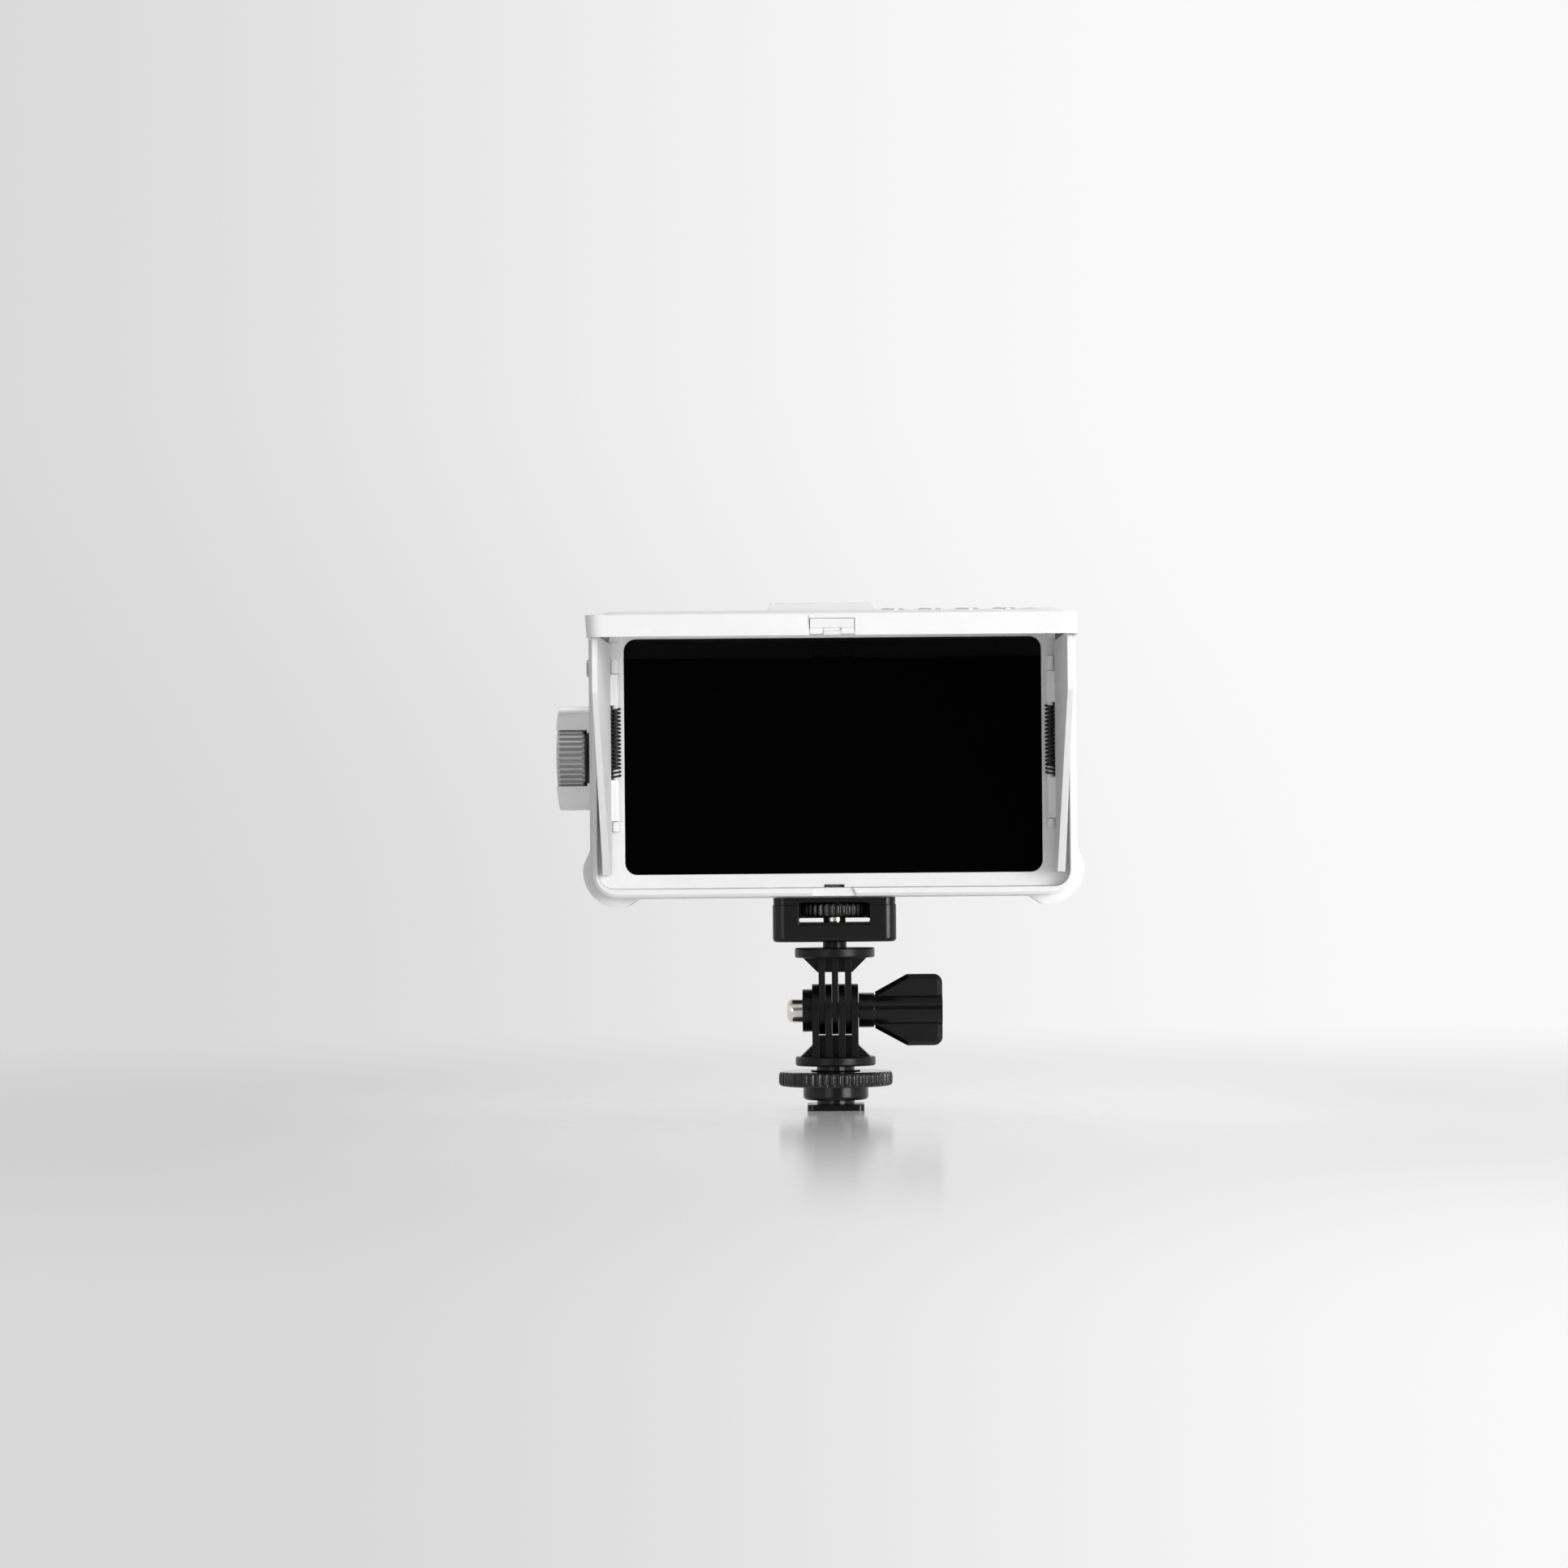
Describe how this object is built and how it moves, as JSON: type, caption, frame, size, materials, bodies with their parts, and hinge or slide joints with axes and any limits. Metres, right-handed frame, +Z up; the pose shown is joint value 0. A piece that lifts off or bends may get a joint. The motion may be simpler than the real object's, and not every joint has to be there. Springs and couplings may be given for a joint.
{
  "type": "camera field monitor with sun hood",
  "caption": "Flat field monitor with a folding sun hood of lid and side flaps, a ribbed side dial, top keys and a rear battery plate, on a tilting cold-shoe mount.",
  "frame": {"origin": "centre of the shoe foot's underside, on the upright axis of the mount", "axes": "+X to the viewer's right, -Y towards the viewer, out of the screen, +Z up"},
  "size_m": [0.1694, 0.1203, 0.1629],
  "materials": {
    "screen_glass": "dark glossy cover glass",
    "lcd": "dark panel behind the glass",
    "chassis": "plain sheet",
    "board": "green circuit board",
    "hood_plastic": "fine-grained white",
    "latch_plastic": "satin white",
    "pin_steel": "ground",
    "spring_steel": "blackened wire",
    "case_metal": "white powder coat",
    "screw_steel": "machine screw",
    "insert_brass": "turned",
    "insert_steel": "turned",
    "key_silver": "silver paint",
    "power_white": "satin white",
    "key_dark": "satin grey",
    "switch_plastic": "moulded",
    "dial_metal": "turned and knurled",
    "guard_metal": "bead-blasted silver",
    "guard_base": "black liner",
    "socket_steel": "pressed shell",
    "socket_plastic": "moulded",
    "plate_plastic": "fine-grained black",
    "contact_brass": "gold plated",
    "mount_plastic": "satin black nylon",
    "pad_rubber": "matt pad",
    "chrome_nut": "polished"
  },
  "bodies": {
    "shoe": {"shoe_foot": "mount_plastic", "lower_fork": "mount_plastic", "cap_nut": "chrome_nut"},
    "collar": {"clamp_collar": "mount_plastic"},
    "lock_wheel": {"locking_wheel": "mount_plastic"},
    "knob": {"thumb_knob": "mount_plastic", "pivot_bolt": "screw_steel"},
    "arm": {"upper_arm": "mount_plastic", "swivel_bolt": "screw_steel"},
    "monitor": {"cover_glass": "screen_glass", "lcd_panel": "lcd", "chassis_plate": "chassis", "main_board": "board", "hood_frame": "hood_plastic", "left_lid_pin": "pin_steel", "right_lid_pin": "pin_steel", "left_flap_pin": "pin_steel", "right_flap_pin": "pin_steel", "left_flap_spring": "spring_steel", "right_flap_spring": "spring_steel", "rear_case": "case_metal", "case_screws": "screw_steel", "base_thread_insert": "insert_brass", "top_thread_insert": "insert_steel", "button_board": "board", "side_switch": "switch_plastic", "dial_guard_upper": "guard_metal", "dial_guard_lower": "guard_metal", "dial_base": "guard_base", "dial_encoder": "switch_plastic", "hdmi_socket": "socket_steel", "usb_socket": "socket_steel", "power_socket": "socket_plastic", "headphone_socket": "socket_plastic", "socket_board": "board", "battery_plate": "plate_plastic", "battery_contacts": "contact_brass", "battery_screws": "screw_steel", "mount_box": "mount_plastic", "mount_top_plate": "mount_plastic", "mount_pad": "pad_rubber"},
    "mounting_screw": {"screw_wheel": "mount_plastic", "mount_screw": "screw_steel"},
    "lid": {"hood_lid": "hood_plastic", "left_lid_spring": "spring_steel", "right_lid_spring": "spring_steel"},
    "latch": {"lid_latch_button": "latch_plastic"},
    "flap_left": {"left_flap": "hood_plastic"},
    "flap_right": {"right_flap": "hood_plastic"},
    "key_1": {"top_button_1": "key_silver"},
    "key_2": {"top_button_2": "key_silver"},
    "key_3": {"top_button_3": "key_silver"},
    "key_4": {"top_button_4": "key_silver"},
    "power_key": {"power_button": "power_white"},
    "side_key": {"side_button": "key_dark"},
    "release": {"battery_release": "key_dark"},
    "dial": {"dial_wheel": "dial_metal", "dial_shaft": "pin_steel"}
  },
  "joints": [
    {"name": "tilt", "type": "hinge", "parent": "shoe", "child": "arm", "pos_m": [0, 0, 0.032], "axis": [1, 0, 0], "range_deg": [-90, 90]},
    {"name": "pan", "type": "hinge", "parent": "arm", "child": "monitor", "pos_m": [0, 0, 0.0542], "axis": [0, 0, 1], "range_deg": [-180, 180]},
    {"name": "knob_turn", "type": "hinge", "parent": "shoe", "child": "knob", "pos_m": [0, 0, 0.032], "axis": [1, 0, 0], "continuous": true},
    {"name": "collar_slide", "type": "slide", "parent": "shoe", "child": "collar", "axis": [0, 0, 1], "range_m": [-0.0004, 0.0013]},
    {"name": "lock_turn", "type": "hinge", "parent": "collar", "child": "lock_wheel", "pos_m": [0, 0, 0.0103], "axis": [0, 0, 1], "range_deg": [-114, 369]},
    {"name": "screw_turn", "type": "hinge", "parent": "monitor", "child": "mounting_screw", "pos_m": [0, 0, 0.0644], "axis": [0, 0, 1], "continuous": true},
    {"name": "lid_hinge", "type": "hinge", "parent": "monitor", "child": "lid", "pos_m": [0, -0.0189, 0.1525], "axis": [1, 0, 0], "range_deg": [0, 3.2], "stiffness_Nm_per_rad": 0.05, "springref_deg": -45.84},
    {"name": "latch_push", "type": "slide", "parent": "lid", "child": "latch", "axis": [0, 1, 0], "range_m": [0, 0.0009], "stiffness_N_per_m": 200, "springref_m": -0.001},
    {"name": "left_flap_hinge", "type": "hinge", "parent": "monitor", "child": "flap_left", "pos_m": [-0.0693, -0.0159, 0.1129], "axis": [0, 0, 1], "range_deg": [0, 90], "stiffness_Nm_per_rad": 0.006, "springref_deg": -57.3},
    {"name": "right_flap_hinge", "type": "hinge", "parent": "monitor", "child": "flap_right", "pos_m": [0.0693, -0.0159, 0.1129], "axis": [0, 0, 1], "range_deg": [-90, 0], "stiffness_Nm_per_rad": 0.006, "springref_deg": 57.3},
    {"name": "key_1_press", "type": "slide", "parent": "monitor", "child": "key_1", "axis": [0, 0, -1], "range_m": [0, 0.0004], "stiffness_N_per_m": 400, "springref_m": -0.001},
    {"name": "key_2_press", "type": "slide", "parent": "monitor", "child": "key_2", "axis": [0, 0, -1], "range_m": [0, 0.0004], "stiffness_N_per_m": 400, "springref_m": -0.001},
    {"name": "key_3_press", "type": "slide", "parent": "monitor", "child": "key_3", "axis": [0, 0, -1], "range_m": [0, 0.0004], "stiffness_N_per_m": 400, "springref_m": -0.001},
    {"name": "key_4_press", "type": "slide", "parent": "monitor", "child": "key_4", "axis": [0, 0, -1], "range_m": [0, 0.0004], "stiffness_N_per_m": 400, "springref_m": -0.001},
    {"name": "power_key_press", "type": "slide", "parent": "monitor", "child": "power_key", "axis": [0, 0, -1], "range_m": [0, 0.0004], "stiffness_N_per_m": 400, "springref_m": -0.001},
    {"name": "side_key_press", "type": "slide", "parent": "monitor", "child": "side_key", "axis": [1, 0, 0], "range_m": [0, 0.0004], "stiffness_N_per_m": 400, "springref_m": -0.001},
    {"name": "release_press", "type": "slide", "parent": "monitor", "child": "release", "axis": [0, -1, 0], "range_m": [0, 0.001], "stiffness_N_per_m": 400, "springref_m": -0.001},
    {"name": "dial_turn", "type": "hinge", "parent": "monitor", "child": "dial", "pos_m": [-0.0844, 0.002, 0.1137], "axis": [1, 0, 0], "continuous": true}
  ],
  "couplings": [
    {"joint": "lock_turn", "follows": "collar_slide", "rad_per_m": 4947.4}
  ]
}
